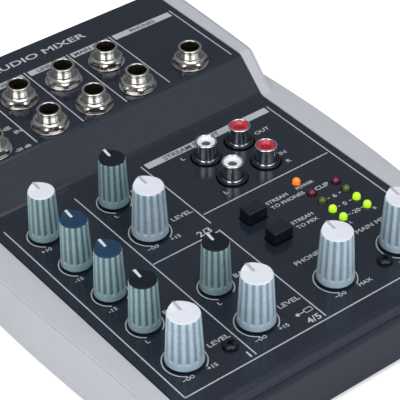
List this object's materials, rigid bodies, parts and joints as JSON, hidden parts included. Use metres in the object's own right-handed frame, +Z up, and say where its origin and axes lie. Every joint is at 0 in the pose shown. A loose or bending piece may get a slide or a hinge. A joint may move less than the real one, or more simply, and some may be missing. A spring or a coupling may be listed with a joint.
{
  "type": "mixing console",
  "caption": "Small tabletop audio mixer: folded black panel with a raised jack deck, grey side cheeks, turning level knobs, push keys and meter lamps.",
  "frame": {"origin": "centre of the object's footprint, on the plane that its feet stand on", "axes": "+Z up, +Y towards the rear edge with the jack deck, +X to the right for someone sitting in front of it"},
  "size_m": [0.1494, 0.1962, 0.0521],
  "materials": {
    "panel_black": "satin black powder coat on folded steel, with printed pale legends",
    "tray_black": "matt black coat on folded steel",
    "cheek_grey": "fine-textured light grey moulding",
    "foot_rubber": "matt black rubber",
    "board_green": "green solder mask on glass fibre",
    "lamp_lens": "clear tinted lens",
    "socket_black": "black moulding",
    "socket_nickel": "bright nickel plate",
    "plated_steel": "plain plated steel",
    "screw_black": "black oxide on steel",
    "button_black": "polished black moulding",
    "level_knob_grey": "pale blue-grey fluted moulding with a white cap",
    "knob_grey": "grey-green fluted moulding with a coloured cap",
    "cap_white": "white cap and pointers",
    "cap_navy": "navy cap",
    "cap_black": "black cap",
    "insert_white": "white phono insert",
    "insert_red": "red phono insert",
    "legend_ink": "grey screen-printed ink",
    "lamp_amber": "amber lens",
    "lamp_red": "dark red lens, unlit"
  },
  "bodies": {
    "chassis": {"top_panel": "panel_black", "base_tray": "tray_black", "cheek_left": "cheek_grey", "cheek_right": "cheek_grey", "foot_front_left": "foot_rubber", "foot_front_right": "foot_rubber", "foot_rear_left": "foot_rubber", "foot_rear_right": "foot_rubber", "main_board": "board_green", "led_array": "lamp_lens", "phono_block": "socket_black", "phono_shell_out_left": "socket_nickel", "phono_shell_out_right": "socket_nickel", "phono_shell_in_left": "socket_nickel", "phono_shell_in_right": "socket_nickel", "xlr_socket": "socket_black", "usb_socket": "plated_steel", "power_inlet": "socket_black", "panel_screw_left": "screw_black", "panel_screw_right": "screw_black", "jack_line_1": "socket_nickel", "jack_line_2": "socket_nickel", "jack_line_3": "socket_nickel", "jack_line_4": "socket_nickel", "jack_line_5": "socket_nickel", "jack_main_left": "socket_nickel", "jack_main_right": "socket_nickel", "jack_phones": "socket_nickel", "nut_line_1": "socket_nickel", "nut_line_2": "socket_nickel", "nut_line_3": "socket_nickel", "nut_line_4": "socket_nickel", "nut_line_5": "socket_nickel", "nut_main_left": "socket_nickel", "nut_main_right": "socket_nickel", "nut_phones": "socket_nickel"},
    "control_gain": {"knob_gain": "knob_grey", "shaft_gain": "plated_steel"},
    "control_eq_high": {"knob_eq_high": "knob_grey", "shaft_eq_high": "plated_steel"},
    "control_eq_low": {"knob_eq_low": "knob_grey", "shaft_eq_low": "plated_steel"},
    "control_pan": {"knob_pan": "knob_grey", "shaft_pan": "plated_steel"},
    "control_level_1": {"knob_level_1": "level_knob_grey", "shaft_level_1": "plated_steel"},
    "control_balance_23": {"knob_balance_23": "knob_grey", "shaft_balance_23": "plated_steel"},
    "control_level_23": {"knob_level_23": "level_knob_grey", "shaft_level_23": "plated_steel"},
    "control_balance_45": {"knob_balance_45": "knob_grey", "shaft_balance_45": "plated_steel"},
    "control_level_45": {"knob_level_45": "level_knob_grey", "shaft_level_45": "plated_steel"},
    "control_phones": {"knob_phones": "level_knob_grey", "shaft_phones": "plated_steel"},
    "control_main_mix": {"knob_main_mix": "level_knob_grey", "shaft_main_mix": "plated_steel"},
    "key_stream_phones": {"button_stream_phones": "button_black"},
    "key_stream_mix": {"button_stream_mix": "button_black"}
  },
  "joints": [
    {"name": "gain_turn", "type": "hinge", "parent": "chassis", "child": "control_gain", "pos_m": [-0.0496, 0.0087, 0.03], "axis": [0, 0, -1], "range_deg": [-150, 150]},
    {"name": "eq_high_turn", "type": "hinge", "parent": "chassis", "child": "control_eq_high", "pos_m": [-0.0496, -0.01097, 0.03], "axis": [0, 0, -1], "range_deg": [-150, 150]},
    {"name": "eq_low_turn", "type": "hinge", "parent": "chassis", "child": "control_eq_low", "pos_m": [-0.0496, -0.03064, 0.03], "axis": [0, 0, -1], "range_deg": [-150, 150]},
    {"name": "pan_turn", "type": "hinge", "parent": "chassis", "child": "control_pan", "pos_m": [-0.0496, -0.05031, 0.03], "axis": [0, 0, -1], "range_deg": [-150, 150]},
    {"name": "level_1_turn", "type": "hinge", "parent": "chassis", "child": "control_level_1", "pos_m": [-0.0496, -0.07201, 0.03], "axis": [0, 0, -1], "range_deg": [-150, 150]},
    {"name": "balance_23_turn", "type": "hinge", "parent": "chassis", "child": "control_balance_23", "pos_m": [-0.0197, 0.0087, 0.03], "axis": [0, 0, -1], "range_deg": [-150, 150]},
    {"name": "level_23_turn", "type": "hinge", "parent": "chassis", "child": "control_level_23", "pos_m": [-0.0197, -0.013, 0.03], "axis": [0, 0, -1], "range_deg": [-150, 150]},
    {"name": "balance_45_turn", "type": "hinge", "parent": "chassis", "child": "control_balance_45", "pos_m": [-0.0197, -0.05031, 0.03], "axis": [0, 0, -1], "range_deg": [-150, 150]},
    {"name": "level_45_turn", "type": "hinge", "parent": "chassis", "child": "control_level_45", "pos_m": [-0.0197, -0.07201, 0.03], "axis": [0, 0, -1], "range_deg": [-150, 150]},
    {"name": "phones_turn", "type": "hinge", "parent": "chassis", "child": "control_phones", "pos_m": [0.0149, -0.07201, 0.03], "axis": [0, 0, -1], "range_deg": [-150, 150]},
    {"name": "main_mix_turn", "type": "hinge", "parent": "chassis", "child": "control_main_mix", "pos_m": [0.0438, -0.07201, 0.03], "axis": [0, 0, -1], "range_deg": [-150, 150]},
    {"name": "stream_phones_press", "type": "slide", "parent": "chassis", "child": "key_stream_phones", "axis": [0, 0, -1], "range_m": [0, 0.0025], "stiffness_N_per_m": 200},
    {"name": "stream_mix_press", "type": "slide", "parent": "chassis", "child": "key_stream_mix", "axis": [0, 0, -1], "range_m": [0, 0.0025], "stiffness_N_per_m": 200}
  ]
}
